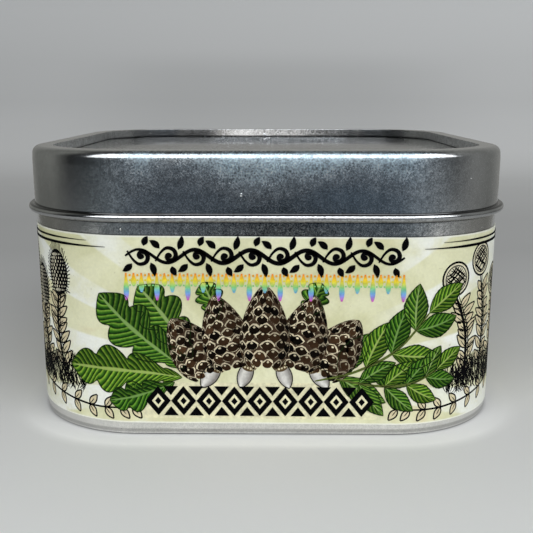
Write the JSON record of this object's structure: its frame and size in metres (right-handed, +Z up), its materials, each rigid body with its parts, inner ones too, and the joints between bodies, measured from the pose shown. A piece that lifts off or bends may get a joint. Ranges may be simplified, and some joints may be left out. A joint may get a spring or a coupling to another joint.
{
  "type": "rounded-square slip-lid tin with a window lid",
  "caption": "Rounded-square tinplate tin with a slip-on window lid, a rolled bead round the lid and a printed paper label, for keeping dry goods.",
  "frame": {"origin": "middle of the base plane that the tin stands on", "axes": "+Z up, -Y out of the front wall, +X to the right seen from the front; the label's ends lap on the +Y wall"},
  "size_m": [0.1026, 0.1026, 0.0571],
  "materials": {
    "body_tinplate": "satin",
    "lid_tinplate": "satin",
    "ring_tinplate": "satin",
    "clear_window": "gloss",
    "label_paper": "matte"
  },
  "bodies": {
    "root": {"tin_body": "body_tinplate", "lid_shell": "lid_tinplate", "window_pane": "clear_window", "window_ring": "ring_tinplate", "label": "label_paper"}
  },
  "joints": []
}
